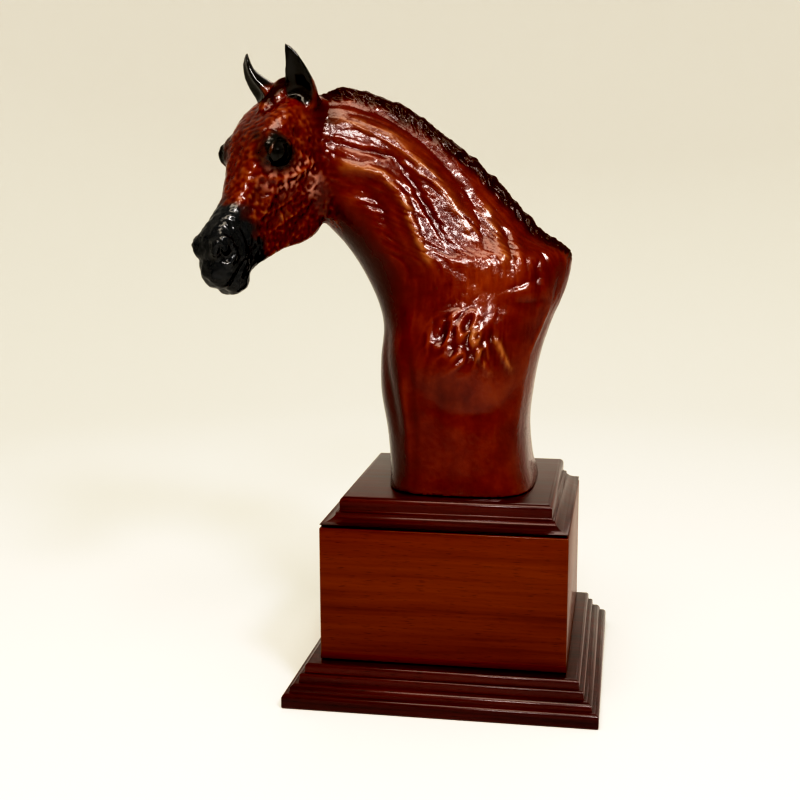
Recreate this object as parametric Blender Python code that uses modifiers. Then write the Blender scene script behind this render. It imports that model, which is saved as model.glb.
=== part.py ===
"""Horse trophy: the head and neck of an Arabian horse, cast in one piece, on a stepped wooden plinth.

Metres, +Z up. The origin is the middle of the plinth's underside. The plinth's front faces -Y, and the
horse looks to -X with its head turned towards the front.
"""

import math

import bmesh
import bpy
import numpy as np
from mathutils import Matrix, Vector

# The plinth: a base board, a square block and a cap board, glued into one stand
BLOCK_SIDE = 0.1143
BLOCK_HEIGHT = 0.0635
BASE_THICKNESS = 0.01905
BASE_OVERHANG = 0.0154
CAP_THICKNESS = 0.0127
CAP_INSET = 0.0104
ARRIS = 0.0006
PIECE_GAP = 0.0003

# The cast bust: its height to the ear tips, and shares of that height for all the rest
BUST_HEIGHT = 0.2070
HEAD_LENGTH = 0.459 * BUST_HEIGHT
HEAD_YAW = math.radians(62)
HEAD_PITCH = math.radians(47)
HEAD_ROLL = math.radians(3)
POLL = (-0.394, -0.082, 0.887)
SKIN_VOXEL = BUST_HEIGHT / 170
SOFTENING_ROUNDS = 5
BUST_TRIANGLES = 8600
NECK_SPANS = 4
NECK_SIDES = 56

BASE_TOP = BASE_THICKNESS
BLOCK_TOP = BASE_TOP + PIECE_GAP + BLOCK_HEIGHT
CAP_TOP = BLOCK_TOP + PIECE_GAP + CAP_THICKNESS
BUST_FOOT = CAP_TOP + PIECE_GAP

MAHOGANY = (0.085, 0.016, 0.006, 1.0)
DARK_MAHOGANY = (0.035, 0.008, 0.006, 1.0)
BAY_GLAZE = (0.16, 0.028, 0.008, 1.0)


def material(name, colour, roughness):
    """A plain Principled material."""
    made = bpy.data.materials.new(name)
    made.use_nodes = True
    shader = made.node_tree.nodes["Principled BSDF"]
    shader.inputs["Base Color"].default_value = colour
    shader.inputs["Roughness"].default_value = roughness
    shader.inputs["Metallic"].default_value = 0.0
    return made


def new_object(name, mesh, collection, finish=None):
    """An object for a mesh, in a collection."""
    made = bpy.data.objects.new(name, mesh)
    collection.objects.link(made)
    if finish is not None:
        mesh.materials.append(finish)
    return made


# Curves through points
def through(rows, count, closed=False):
    """Points on a Catmull-Rom curve through the rows, count of them for each span."""
    rows = np.asarray(rows, float)
    last = len(rows)
    if closed:
        padded = np.concatenate([rows[-1:], rows, rows[:2]])
    else:
        padded = np.concatenate([2 * rows[:1] - rows[1:2], rows, 2 * rows[-1:] - rows[-2:-1]])
        last -= 1
    found = []
    for span in range(last):
        a, b, c, d = padded[span : span + 4]
        for step in range(count):
            u = step / count
            found.append(
                0.5
                * (
                    2 * b
                    + (c - a) * u
                    + (2 * a - 5 * b + 4 * c - d) * u**2
                    + (3 * b - a - 3 * c + d) * u**3
                )
            )
    if not closed:
        found.append(rows[-1])
    return np.array(found)


def loft(name, rings, collection):
    """A closed body through rings of points, with a flat fan over each end."""
    rings = np.asarray(rings, float)
    stations, around, _ = rings.shape
    points = [tuple(p) for ring in rings for p in ring]
    faces = []
    for i in range(stations - 1):
        for j in range(around):
            k = (j + 1) % around
            faces.append((i * around + j, i * around + k, (i + 1) * around + k, (i + 1) * around + j))
    for ring, turn in ((0, 1), (stations - 1, -1)):
        middle = len(points)
        points.append(tuple(rings[ring].mean(axis=0)))
        for j in range(around):
            a, b = ring * around + j, ring * around + (j + 1) % around
            faces.append((middle, b, a) if turn > 0 else (middle, a, b))
    mesh = bpy.data.meshes.new(name)
    mesh.from_pydata(points, [], faces)
    shape = bmesh.new()
    shape.from_mesh(mesh)
    bmesh.ops.recalc_face_normals(shape, faces=shape.faces)
    shape.to_mesh(mesh)
    shape.free()
    return new_object(name, mesh, collection)


# The plinth
def stepped_board(name, outer, bottom, profile, collection, finish):
    """A square board whose edge follows a profile of (inset, height), from its underside to its top."""
    rings = []
    for inset, height in profile:
        half = outer / 2 - inset
        rings.append([(-half, -half), (half, -half), (half, half), (-half, half), height])
    points, faces = [], []
    for *corners, height in rings:
        points += [(x, y, bottom + height) for x, y in corners]
    for i in range(len(rings) - 1):
        for j in range(4):
            k = (j + 1) % 4
            faces.append((4 * i + j, 4 * i + k, 4 * i + 4 + k, 4 * i + 4 + j))
    faces.append((3, 2, 1, 0))
    top = 4 * (len(rings) - 1)
    faces.append((top, top + 1, top + 2, top + 3))
    mesh = bpy.data.meshes.new(name)
    mesh.from_pydata(points, [], faces)
    return new_object(name, mesh, collection, finish)


# The members of the base board's edge, bottom to top, as shares of its overhang and its thickness: where each
# starts (inset, height) and how far its quarter round runs in and up
BASE_MEMBERS = (
    (0.0, 0.252, 0.143, 0.115),
    (0.201, 0.409, 0.195, 0.157),
    (0.455, 0.709, 0.084, 0.068),
    (0.597, 0.906, 0.117, 0.094),
)
# The cap board's cove and fillets in the same shares, of its inset and its thickness, and its nosing
CAP_COVE = (
    (0.0, 0.11),
    (0.115, 0.11),
    (0.25, 0.173),
    (0.50, 0.252),
    (0.615, 0.315),
    (0.615, 0.441),
    (0.731, 0.472),
)
CAP_MEMBERS = ((0.769, 0.811, 0.231, 0.189),)
ROUND_STEPS = 4


def moulded_edge(members, reach, rise):
    """(inset, height) points up a moulding, each member upright and then a quarter round."""
    points = []
    for inset, height, inwards, upwards in members:
        if points:
            points.append((inset * reach, points[-1][1]))
        for step in range(ROUND_STEPS + 1):
            turn = math.pi / 2 * step / ROUND_STEPS
            along, above = inset + inwards * (1 - math.cos(turn)), height + upwards * math.sin(turn)
            points.append((along * reach, above * rise))
    return points


def base_profile():
    """Bottom to top: a square-edged band, a large round, a bead, a small round and the nosing."""
    return [(ARRIS, 0.0), (0.0, ARRIS)] + moulded_edge(BASE_MEMBERS, BASE_OVERHANG, BASE_THICKNESS)


def cap_profile():
    """Bottom to top: a shallow cove at the block's edge, two fillets and the nosing."""
    cove = [(inset * CAP_INSET, height * CAP_THICKNESS) for inset, height in CAP_COVE]
    return [(0.0, 0.0)] + cove + moulded_edge(CAP_MEMBERS, CAP_INSET, CAP_THICKNESS)


def build_plinth(collection):
    """The three pieces of the stand, from the floor up."""
    wood = material("mahogany", MAHOGANY, 0.25)
    dark_wood = material("dark_mahogany", DARK_MAHOGANY, 0.22)
    base_side = BLOCK_SIDE + 2 * BASE_OVERHANG
    stepped_board("base_board", base_side, 0.0, base_profile(), collection, dark_wood)
    block = [(ARRIS, 0.0), (0.0, ARRIS), (0.0, BLOCK_HEIGHT - ARRIS), (ARRIS, BLOCK_HEIGHT)]
    stepped_board("plinth_block", BLOCK_SIDE, BASE_TOP + PIECE_GAP, block, collection, wood)
    stepped_board("cap_board", BLOCK_SIDE, BLOCK_TOP + PIECE_GAP, cap_profile(), collection, dark_wood)


# The neck from the foot up, in thousandths of the bust's height: (crest), (throat), half width; then how
# square its section is, and how much narrower the crest is than the throat
NECK = (
    ((186, 0, -46), (-150, 0, -46), 200, 3.6, 0.0),
    ((186, 0, 0), (-150, 0, 0), 200, 3.6, 0.0),
    ((174, 0, 48), (-151, 0, 43), 193, 3.2, 0.0),
    ((167, 0, 135), (-160, 0, 125), 186, 2.9, 0.0),
    ((176, 0, 221), (-177, 0, 212), 181, 2.6, 0.02),
    ((191, 0, 299), (-179, 0, 289), 174, 2.4, 0.05),
    ((215, 0, 376), (-174, 0, 357), 162, 2.2, 0.10),
    ((242, 0, 439), (-186, 0, 410), 147, 2.1, 0.15),
    ((258, 0, 502), (-210, -2, 463), 133, 2.0, 0.20),
    ((251, 0, 540), (-237, -5, 511), 121, 2.0, 0.25),
    ((186, 0, 574), (-263, -10, 548), 109, 2.0, 0.30),
    ((119, 0, 643), (-285, -14, 572), 101, 2.0, 0.35),
    ((27, 0, 735), (-301, -19, 588), 94, 2.0, 0.38),
    ((-66, 0, 806), (-318, -24, 608), 89, 2.0, 0.38),
    ((-135, -2, 850), (-334, -27, 630), 85, 2.0, 0.35),
    ((-203, -10, 879), (-352, -27, 663), 80, 2.0, 0.30),
    ((-261, -22, 891), (-367, -24, 714), 70, 2.0, 0.25),
    ((-319, -39, 881), (-382, -19, 753), 56, 2.0, 0.10),
)


def in_bust(points):
    """Points given in thousandths of the bust's height from the middle of its foot, in the trophy's axes."""
    return np.asarray(points, float) * BUST_HEIGHT / 1000 + (0, 0, BUST_FOOT)


def neck_rows(spans):
    """The neck's stations in metres: crest, throat, half width, squareness, narrowing and side direction."""
    rows = np.array([[*crest, *throat, width, power, narrow] for crest, throat, width, power, narrow in NECK])
    rows = through(rows, spans)
    crest, throat, width = in_bust(rows[:, 0:3]), in_bust(rows[:, 3:6]), rows[:, 6:7] * BUST_HEIGHT / 1000
    side = np.cross(np.gradient((crest + throat) / 2, axis=0), throat - crest)
    side /= np.linalg.norm(side, axis=1, keepdims=True)
    return np.hstack([crest, throat, width, rows[:, 7:9], side])


def neck_points(rows, down, across):
    """Points on the neck: down from crest (0) to throat (1), across to the near (1) or far (-1) side."""
    crest, throat, side = rows[..., 0:3], rows[..., 3:6], rows[..., 9:12]
    reach = 1 - np.abs(1 - 2 * down) ** rows[..., 7]
    width = rows[..., 6] * np.maximum(reach, 0) ** (1 / rows[..., 7]) * (1 - rows[..., 8] * (1 - 2 * down))
    return crest + down[..., None] * (throat - crest) + (across * width)[..., None] * side


def neck_rings(spans, around):
    """Rings of points round the neck, from the foot to inside the skull."""
    rows = neck_rows(spans)[:, None, :]
    turn = np.arange(around) * 2 * math.pi / around
    power = rows[..., 7]
    down = 0.5 - 0.5 * np.sign(np.cos(turn)) * np.abs(np.cos(turn)) ** (2 / power)
    across = np.broadcast_to(np.sign(np.round(np.sin(turn), 9)), down.shape)
    return neck_points(rows, down, across)


# The head, in hundredths of its length: along the face from the poll, the profile's top, then four pairs of
# (half width, height) down the side, and the middle of the underside
HEAD = (
    (-12, -13, (8, -15), (12, -21), (11, -28), (7, -33), -35),
    (-4, -4, (12, -5), (16, -16), (15.5, -27), (11, -38), -39),
    (6, 1.5, (13, 0.8), (17.5, -11), (17.5, -27), (13, -43), -43),
    (16, 4, (14, 3.2), (18, -9), (18, -29), (13.5, -48), -47),
    (26, 5.5, (13.5, 3.5), (18.5, -8), (17, -30), (12.5, -51), -49),
    (34, 5, (13, 3), (17.5, -8), (16, -30), (11.5, -53), -50),
    (42, 2.5, (10.5, 0.5), (15, -10), (14.5, -29), (11, -54), -50),
    (52, -1.5, (8.5, -3.5), (12.5, -12), (12.5, -27), (10, -50), -46),
    (62, -4.5, (7, -6.5), (10.5, -13.5), (11, -25), (9, -43), -39.5),
    (72, -5, (6.5, -7), (9.5, -13), (10.5, -24), (8.5, -38), -35.5),
    (80, -4.5, (6.5, -6), (9.5, -13), (10.5, -22), (8, -34), -33.5),
    (88, -6, (6.5, -8), (9.5, -14), (10.5, -22), (8, -32), -34),
    (94, -10.5, (6, -12), (8.5, -17), (9.5, -23), (7, -31), -33),
    (98, -16, (5, -17.5), (7.5, -20.5), (8, -25), (5, -29.5), -30),
    (100, -20.5, (3, -21), (4.5, -23), (4.5, -26), (3, -28), -28.5),
)


def head_matrix():
    """From head axes (along the face, up off it, to the near side) to the trophy's, in metres."""
    forward = Vector((-math.cos(HEAD_YAW), -math.sin(HEAD_YAW), 0))
    up = Vector((0, 0, 1))
    face = forward * math.cos(HEAD_PITCH) - up * math.sin(HEAD_PITCH)
    off = forward * math.sin(HEAD_PITCH) + up * math.cos(HEAD_PITCH)
    near = Vector((math.sin(HEAD_YAW), -math.cos(HEAD_YAW), 0))
    turned = Matrix.Rotation(HEAD_ROLL, 3, face)
    columns = [turned @ face, turned @ off, turned @ near]
    m = Matrix([[columns[c][r] for c in range(3)] for r in range(3)]).to_4x4()
    m.translation = Vector(in_bust(Vector(POLL) * 1000))
    return m


def in_head(points):
    """Points given in hundredths of the head's length, as (along, up, near side), in the trophy's axes."""
    m = np.array(head_matrix())
    return (np.asarray(points, float) * HEAD_LENGTH / 100) @ m[:3, :3].T + m[:3, 3]


def head_rings(spans, around):
    """Rings of points round the head, from inside the neck to the lips."""
    rows = []
    for s, top, a, b, c, d, bottom in HEAD:
        half = [(top, 0), (a[1], a[0]), (b[1], b[0]), (c[1], c[0]), (d[1], d[0]), (bottom, 0)]
        ring = half + [(t, -n) for t, n in reversed(half[1:-1])]
        rows.append([(s, t, n) for t, n in ring])
    rows = np.array(rows, float)
    stations = through(rows.reshape(len(rows), -1), spans).reshape(-1, rows.shape[1], 3)
    return np.array([in_head(through(ring, around, closed=True)) for ring in stations])


# Forms laid over the skull, in hundredths of the head's length: (middle), (radii), mirrored to both sides.
# In turn the brow, the cheek, the wing of the nostril, the upper lip and the chin.
SKULL_FORMS = (
    ((33.0, -3.5, 12.6), (10.5, 7.5, 6.4)),
    ((23.0, -31.0, 9.5), (15.5, 18.0, 9.8)),
    ((87.5, -11.0, 7.2), (6.5, 5.2, 4.4)),
    ((96.8, -22.0, 1.8), (5.0, 7.4, 4.9)),
    ((91.2, -32.2, 2.4), (7.6, 5.9, 6.6)),
)
EYE = (35.8, -4.0, 15.4)
EYE_RADIUS = 4.8

# Up the ear from its root to its tip: the place of its middle, then half its breadth and half its depth
EAR = (
    ((2.5, -8.5, 10.5), 8.5, 8.5),
    ((-0.3, -3.0, 11.2), 8.6, 8.4),
    ((-1.6, 1.8, 12.6), 8.0, 7.4),
    ((-3.0, 6.5, 13.9), 6.8, 5.8),
    ((-4.6, 11.0, 14.6), 5.5, 4.4),
    ((-6.6, 15.2, 14.7), 4.1, 3.2),
    ((-8.6, 19.2, 13.9), 2.6, 2.2),
    ((-9.9, 22.0, 12.9), 1.2, 1.2),
    ((-10.4, 23.2, 12.4), 0.5, 0.5),
)
EAR_CUP = 1.1
FAR_EAR_NOD = (1.6, -2.2)
FAR_EAR_BOW = (2.4, 2.4)


def ball(name, middle, radii, collection):
    """An ellipsoid on the head, in hundredths of its length."""
    mesh = bpy.data.meshes.new(name)
    shape = bmesh.new()
    bmesh.ops.create_uvsphere(shape, u_segments=24, v_segments=16, radius=1.0)
    unit = HEAD_LENGTH / 100
    size = Matrix.Diagonal((*(Vector(radii) * unit), 1.0))
    place = head_matrix() @ Matrix.Translation(Vector(middle) * unit) @ size
    bmesh.ops.transform(shape, matrix=place, verts=shape.verts)
    shape.to_mesh(mesh)
    shape.free()
    return new_object(name, mesh, collection)


def ear_rings(side, spans, around):
    """Rings up one ear, its front hollowed into a cup that opens forwards and outwards."""
    rows = through([[*middle, breadth, depth] for middle, breadth, depth in EAR], spans)
    rows[:, 2] *= side
    if side < 0:
        rise = np.arange(len(rows)) / len(rows)
        rows[:, 0:2] += np.outer(rise**2, FAR_EAR_NOD) + np.outer(np.sin(math.pi * rise), FAR_EAR_BOW)
    middle = rows[:, 0:3]
    along = np.gradient(middle, axis=0)
    angles = np.arange(around) * 2 * math.pi / around
    c, s = np.cos(angles), np.sin(angles)
    rings = []
    for i, row in enumerate(rows):
        run = along[i] / np.linalg.norm(along[i])
        opening = np.array([0.68, 0.70, 0.42 * side])
        opening -= run * (opening @ run)
        opening /= np.linalg.norm(opening)
        across = np.cross(run, opening)
        cup = EAR_CUP * min(1.0, i / (2.0 * spans)) * np.maximum(c, 0) ** 2.4
        rings.append(middle[i] + np.outer(row[4] * (c - cup), opening) + np.outer(row[3] * s, across))
    return in_head(np.array(rings))


# Muscles and hollows of the neck: radius and height in thousandths of the bust's height, then points as (row
# of the neck, share of the way from crest to throat). A height above nothing is a ridge, below it a groove.
NECK_STROKES = (
    (22.2, 6.3, ((15.4, 0.34), (14.4, 0.29), (13.7, 0.24), (12.9, 0.23), (11.5, 0.24), (9.9, 0.31))),
    (20.3, 6.3, ((14.6, 0.60), (13.2, 0.49), (12.3, 0.44), (10.5, 0.46), (9.1, 0.50), (8.0, 0.49))),
    (16.4, 3.9, ((12.0, 0.28), (11.2, 0.31), (10.2, 0.35), (8.8, 0.41), (8.0, 0.42))),
    (19.3, 3.9, ((11.4, 0.10), (10.8, 0.11), (9.9, 0.14), (8.3, 0.21))),
    (24.2, 6.3, ((8.4, 0.06), (7.5, 0.11), (6.6, 0.08), (5.9, 0.08))),
    (16.9, 3.9, ((5.3, 0.06), (4.6, 0.06), (3.8, 0.06), (2.8, 0.06))),
    (19.3, 4.3, ((5.8, 0.88), (4.8, 0.80), (3.8, 0.77), (2.9, 0.80), (1.9, 0.81))),
    (15.5, -8.2, ((15.4, 0.60), (14.2, 0.42), (13.4, 0.35), (12.9, 0.30))),
    (12.6, -7.2, ((12.9, 0.31), (12.0, 0.35), (11.2, 0.37), (10.2, 0.39), (8.5, 0.44))),
    (21.7, -8.7, ((14.0, 0.72), (12.7, 0.64), (11.8, 0.64), (10.8, 0.64), (9.2, 0.70), (7.5, 0.70))),
    (17.4, -6.3, ((14.2, 0.11), (12.9, 0.09), (12.2, 0.08), (11.6, 0.08), (10.8, 0.07))),
    (18.4, -4.8, ((6.0, 0.95), (5.0, 0.93), (4.0, 0.88), (3.1, 0.86))),
    (21.7, -6.8, ((4.6, 0.66), (4.4, 0.51), (4.1, 0.33), (4.3, 0.17), (4.8, 0.08))),
    (72.5, 11.6, ((6.0, 0.62), (5.9, 0.48), (5.7, 0.34))),
    (43.5, 7.7, ((7.6, 0.20), (6.9, 0.17))),
)

# Bones and hollows of the head, laid out the same way, with points in hundredths of the head's length
HEAD_STROKES = (
    (12.6, 5.3, ((41, -17, 16), (52, -20, 13), (64, -20, 11))),
    (18.4, -5.3, ((45, -9, 15), (54, -10, 12), (64, -11, 10.5))),
    (20.3, -6.3, ((19, -4, 17), (22, -9, 18))),
    (14.5, -7.7, ((9, -20, 17.5), (7, -32, 17), (12, -45, 15), (22, -53, 12))),
    (11.0, 2.6, ((26, 4.5, 7), (45, 1, 8), (62, -6, 6.5), (78, -6, 6))),
    (9.0, -12.0, ((87.5, -9.5, 10.8), (91, -9.5, 10.6), (93, -12.5, 10.6), (91.5, -16, 11))),
    (6.5, -7.0, ((100.5, -30, 0), (99, -29, 5), (95.5, -27.5, 9), (87, -25, 11))),
    (8.0, -4.0, ((75.5, -10, 9), (77, -18, 10.6), (81, -25, 10.6))),
    (9.0, -4.4, ((94, -13, 0), (93.5, -14, 4), (92.5, -16, 8))),
)
EYE_RING = (7.2, -5.3, 7.4)
MANE_HEIGHT = 0.0116 * BUST_HEIGHT
MANE_WIDTH = 0.0203 * BUST_HEIGHT
MANE_ENDS = 0.04 * BUST_HEIGHT
LOCK_PITCH = 0.03 * BUST_HEIGHT
MANE_ROWS = (9.2, 17.2)
FORELOCK = (((-3, 0.5, 0), (7, 5, 7)), ((4, 3.5, 1.5), (7, 3.4, 5)), ((11, 4.6, -0.5), (6.5, 2.6, 3.4)))


def mane_rings(around):
    """A ridge of short locks along the crest, from the withers to behind the ears."""
    rows = neck_rows(20)
    first, last = (int(round(station * 20)) for station in MANE_ROWS)
    rows = rows[first : last + 1]
    run = np.concatenate([[0], np.cumsum(np.linalg.norm(np.diff(rows[:, 0:3], axis=0), axis=1))])
    turn = np.arange(around) * 2 * math.pi / around
    rings = []
    for i, row in enumerate(rows):
        out = row[0:3] - row[3:6]
        out /= np.linalg.norm(out)
        lock = (run[i] % LOCK_PITCH) / LOCK_PITCH
        ends = min(1.0, 0.3 + 0.7 * min(run[i], run[-1] - run[i]) / MANE_ENDS)
        height = MANE_HEIGHT * ends * (0.75 + 0.5 * lock)
        width = MANE_WIDTH * ends * (0.9 + 0.25 * lock)
        raised = np.outer(height * np.cos(turn), out) + np.outer(width * np.sin(turn), row[9:12])
        rings.append(row[0:3] + raised)
    return np.array(rings)


def bust_forms(forms):
    """The closed shapes that make up the bust before they are fused."""
    made = [loft("neck_form", neck_rings(NECK_SPANS, NECK_SIDES), forms)]
    made.append(loft("head_form", head_rings(4, 5), forms))
    made.append(loft("mane_form", mane_rings(16), forms))
    for middle, radii in FORELOCK:
        made.append(ball("forelock_form", middle, radii, forms))
    for side in (1, -1):
        for middle, radii in SKULL_FORMS:
            made.append(ball("skull_form", (middle[0], middle[1], middle[2] * side), radii, forms))
        made.append(ball("eye_form", (EYE[0], EYE[1], EYE[2] * side), (EYE_RADIUS,) * 3, forms))
        made.append(loft("ear_form", ear_rings(side, 4, 20), forms))
    return made


def smoothed(mesh, rounds):
    """A mesh's points after rounds of moving each halfway to the mean of its neighbours."""
    points = np.empty(len(mesh.vertices) * 3)
    mesh.vertices.foreach_get("co", points)
    points = points.reshape(-1, 3)
    ends = np.empty(len(mesh.edges) * 2, dtype=np.int64)
    mesh.edges.foreach_get("vertices", ends)
    a, b = ends[0::2], ends[1::2]
    count = np.bincount(ends, minlength=len(points))[:, None]
    for _ in range(rounds):
        total = np.zeros_like(points)
        for axis in range(3):
            total[:, axis] = np.bincount(a, points[b, axis], len(points))
            total[:, axis] += np.bincount(b, points[a, axis], len(points))
        points = 0.5 * points + 0.5 * total / count
    return points


def strokes():
    """Every stroke of the carving: radius, height and a close-set path, for both sides."""
    rows = neck_rows(20)
    radius, height, reach = EYE_RING
    turn = np.linspace(0, 2 * math.pi, 40)
    level = np.full(40, EYE[2] + 3.0)
    along, above = EYE[0] + 1.15 * reach * np.cos(turn), EYE[1] + 0.8 * reach * np.sin(turn)
    lids = np.stack([along, above, level], axis=1)
    made = []
    for side in (1, -1):
        for stroke in NECK_STROKES:
            path = through(stroke[2], 8)
            at = rows[np.round(path[:, 0] * 20).astype(int)]
            made.append((stroke[0], stroke[1], neck_points(at, path[:, 1], np.full(len(at), float(side)))))
        for stroke in HEAD_STROKES:
            made.append((stroke[0], stroke[1], in_head(through(stroke[2], 8) * (1, 1, side))))
        made.append((radius, height, in_head(lids * (1, 1, side))))
    unit = BUST_HEIGHT / 1000
    return [(radius * unit, height * unit, path) for radius, height, path in made]


def carve(points, normals):
    """Moves the points along their normals where strokes of the carving pass."""
    moved = np.zeros(len(points))
    for radius, height, path in strokes():
        low, high = path.min(axis=0) - 4 * radius, path.max(axis=0) + 4 * radius
        near = np.nonzero(((points > low) & (points < high)).all(axis=1))[0]
        if len(near) == 0:
            continue
        path = np.array([points[near[np.argmin(((points[near] - p) ** 2).sum(axis=1))]] for p in path])
        for _ in range(3):
            path[1:-1] = 0.5 * path[1:-1] + 0.25 * (path[:-2] + path[2:])
        gap = ((points[near][:, None, :] - path[None, :, :]) ** 2).sum(axis=2)
        closest = gap.argmin(axis=1)
        taper = np.sin(math.pi * (0.12 + 0.76 * closest / (len(path) - 1)))
        moved[near] += height * taper * np.exp(-gap.min(axis=1) / radius**2)
    return points + moved[:, None] * normals


def fused_skin(bust):
    """One even skin over the bust's forms, as a new mesh."""
    remesh = bust.modifiers.new("fuse", "REMESH")
    remesh.mode = "VOXEL"
    remesh.voxel_size = SKIN_VOXEL
    skin = bpy.data.meshes.new_from_object(bust.evaluated_get(bpy.context.evaluated_depsgraph_get()))
    bust.modifiers.remove(remesh)
    return skin


def thinned_skin(bust):
    """The bust's skin with fewer, larger faces where it is plain."""
    thin = bust.modifiers.new("thin", "DECIMATE")
    thin.ratio = BUST_TRIANGLES / (2 * len(bust.data.polygons))
    skin = bpy.data.meshes.new_from_object(bust.evaluated_get(bpy.context.evaluated_depsgraph_get()))
    bust.modifiers.remove(thin)
    return skin


def cut_foot(mesh):
    """Cuts the bust off flat where it stands on the plinth."""
    shape = bmesh.new()
    shape.from_mesh(mesh)
    everything = shape.verts[:] + shape.edges[:] + shape.faces[:]
    foot = Vector((0, 0, BUST_FOOT))
    cut = bmesh.ops.bisect_plane(shape, geom=everything, plane_co=foot, plane_no=(0, 0, 1), clear_inner=True)
    rim = [e for e in cut["geom_cut"] if isinstance(e, bmesh.types.BMEdge)]
    bmesh.ops.holes_fill(shape, edges=rim)
    bmesh.ops.dissolve_degenerate(shape, dist=SKIN_VOXEL / 20, edges=shape.edges)
    bmesh.ops.triangulate(shape, faces=shape.faces)
    shape.to_mesh(mesh)
    shape.free()


def build_bust(collection, forms, finish):
    """The cast bust: its forms fused into one skin, softened, carved, and cut level with the plinth's top."""
    made = bust_forms(forms)
    mesh = bpy.data.meshes.new("horse_bust")
    shape = bmesh.new()
    for form in made:
        shape.from_mesh(form.data)
    shape.to_mesh(mesh)
    shape.free()
    bust = new_object("horse_bust", mesh, collection)
    for form in made:
        bpy.data.objects.remove(form)
    bust.data = fused_skin(bust)
    skin = bust.data
    skin.vertices.foreach_set("co", smoothed(skin, SOFTENING_ROUNDS).ravel())
    skin.update()
    points, normals = np.empty(len(skin.vertices) * 3), np.empty(len(skin.vertices) * 3)
    skin.vertices.foreach_get("co", points)
    skin.vertices.foreach_get("normal", normals)
    skin.vertices.foreach_set("co", carve(points.reshape(-1, 3), normals.reshape(-1, 3)).ravel())
    skin.update()
    bust.data = thinned_skin(bust)
    cut_foot(bust.data)
    bust.data.materials.append(finish)
    return bust


def main():
    for obj in list(bpy.data.objects):
        bpy.data.objects.remove(obj)
    trophy = bpy.data.collections.new("horse_trophy")
    bpy.context.scene.collection.children.link(trophy)
    forms = bpy.data.collections.new("forms")
    bpy.context.scene.collection.children.link(forms)
    build_plinth(trophy)
    build_bust(trophy, forms, material("bay_glaze", BAY_GLAZE, 0.2))


main()
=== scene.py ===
"""Horse trophy: a glazed cast head and neck of an Arabian horse on a stepped mahogany plinth."""

import math

import bmesh
import bpy
import numpy as np
from mathutils import Matrix, Vector, kdtree, noise


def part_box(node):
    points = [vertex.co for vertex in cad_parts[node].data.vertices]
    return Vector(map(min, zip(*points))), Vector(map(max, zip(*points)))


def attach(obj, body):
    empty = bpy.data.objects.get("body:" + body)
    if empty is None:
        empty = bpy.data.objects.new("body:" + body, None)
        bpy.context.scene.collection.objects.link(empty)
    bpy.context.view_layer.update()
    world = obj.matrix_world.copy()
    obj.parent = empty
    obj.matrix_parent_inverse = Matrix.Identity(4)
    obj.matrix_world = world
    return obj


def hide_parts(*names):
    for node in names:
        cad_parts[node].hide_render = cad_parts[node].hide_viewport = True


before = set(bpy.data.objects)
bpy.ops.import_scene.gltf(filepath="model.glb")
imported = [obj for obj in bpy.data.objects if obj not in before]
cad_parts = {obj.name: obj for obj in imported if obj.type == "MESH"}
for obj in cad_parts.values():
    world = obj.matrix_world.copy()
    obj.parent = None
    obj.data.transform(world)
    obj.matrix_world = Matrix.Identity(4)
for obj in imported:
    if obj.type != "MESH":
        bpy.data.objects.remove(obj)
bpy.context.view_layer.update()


# The base board: a square of mahogany three quarters of an inch thick. Its edge is routed in four rounds that
# step inwards above a square band, then stained dark and lacquered.
base_low, base_high = (Vector(corner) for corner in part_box("base_board"))
base_rise = base_high.z - base_low.z
base_arris = 0.0006
base_band = 0.0048
# The rounds from the bottom up: the inset of the step at the foot, then the round's inset, height and radius
base_rounds = (
    (0.0, 0.0, base_band, 0.0022),
    (0.0031, 0.0031, 0.0078, 0.0030),
    (0.0068, 0.0070, 0.0135, 0.0013),
    (0.0091, 0.0092, base_rise - 0.0018, 0.0018),
)
arris_bevel = 0.00025


def quarter_round(inset, height, radius, steps=6):
    """(inset, height) points up a quarter round that starts upright and ends level."""
    turns = [math.pi / 2 * step / steps for step in range(steps + 1)]
    return [(inset + radius * (1 - math.cos(t)), height + radius * math.sin(t)) for t in turns]


def routed_board(name, low, high, profile):
    """A square board grown upwards from its underside, one outline for each point of the edge's profile."""
    bpy.ops.object.select_all(action="DESELECT")
    bpy.ops.mesh.primitive_plane_add(size=1, location=((low.x + high.x) / 2, (low.y + high.y) / 2, low.z))
    board = bpy.context.object
    board.name = name
    board.data.name = name
    side = high.x - low.x
    first = side - 2 * profile[0][0]
    board.scale = (first, first, 1)
    bpy.ops.object.transform_apply(location=True, scale=True)
    bpy.ops.object.mode_set(mode="EDIT")
    bpy.ops.mesh.select_all(action="SELECT")
    middle = ((low.x + high.x) / 2, (low.y + high.y) / 2, 0)
    for (inset, height), (next_inset, next_height) in zip(profile, profile[1:]):
        bpy.ops.mesh.extrude_region_move(TRANSFORM_OT_translate={"value": (0, 0, next_height - height)})
        ratio = (side - 2 * next_inset) / (side - 2 * inset)
        bpy.ops.transform.resize(value=(ratio, ratio, 1), center_override=middle)
    bpy.ops.mesh.select_all(action="SELECT")
    bpy.ops.mesh.normals_make_consistent(inside=False)
    bpy.ops.uv.cube_project(cube_size=1.0)
    bpy.ops.object.mode_set(mode="OBJECT")
    softened = board.modifiers.new("rubbed arrises", "BEVEL")
    softened.width = arris_bevel
    softened.segments = 2
    softened.limit_method = "ANGLE"
    softened.angle_limit = math.radians(32)
    bpy.ops.object.modifier_apply(modifier=softened.name)
    bpy.ops.object.shade_smooth_by_angle(angle=math.radians(30))
    return board


base_profile = [(base_arris, 0.0)]
level = base_arris
for foot, inset, height, radius in base_rounds:
    base_profile += [(foot, level)] + quarter_round(inset, height, radius)
    level = height + radius
base_board = routed_board("base_board_routed", base_low, base_high, base_profile)


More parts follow.
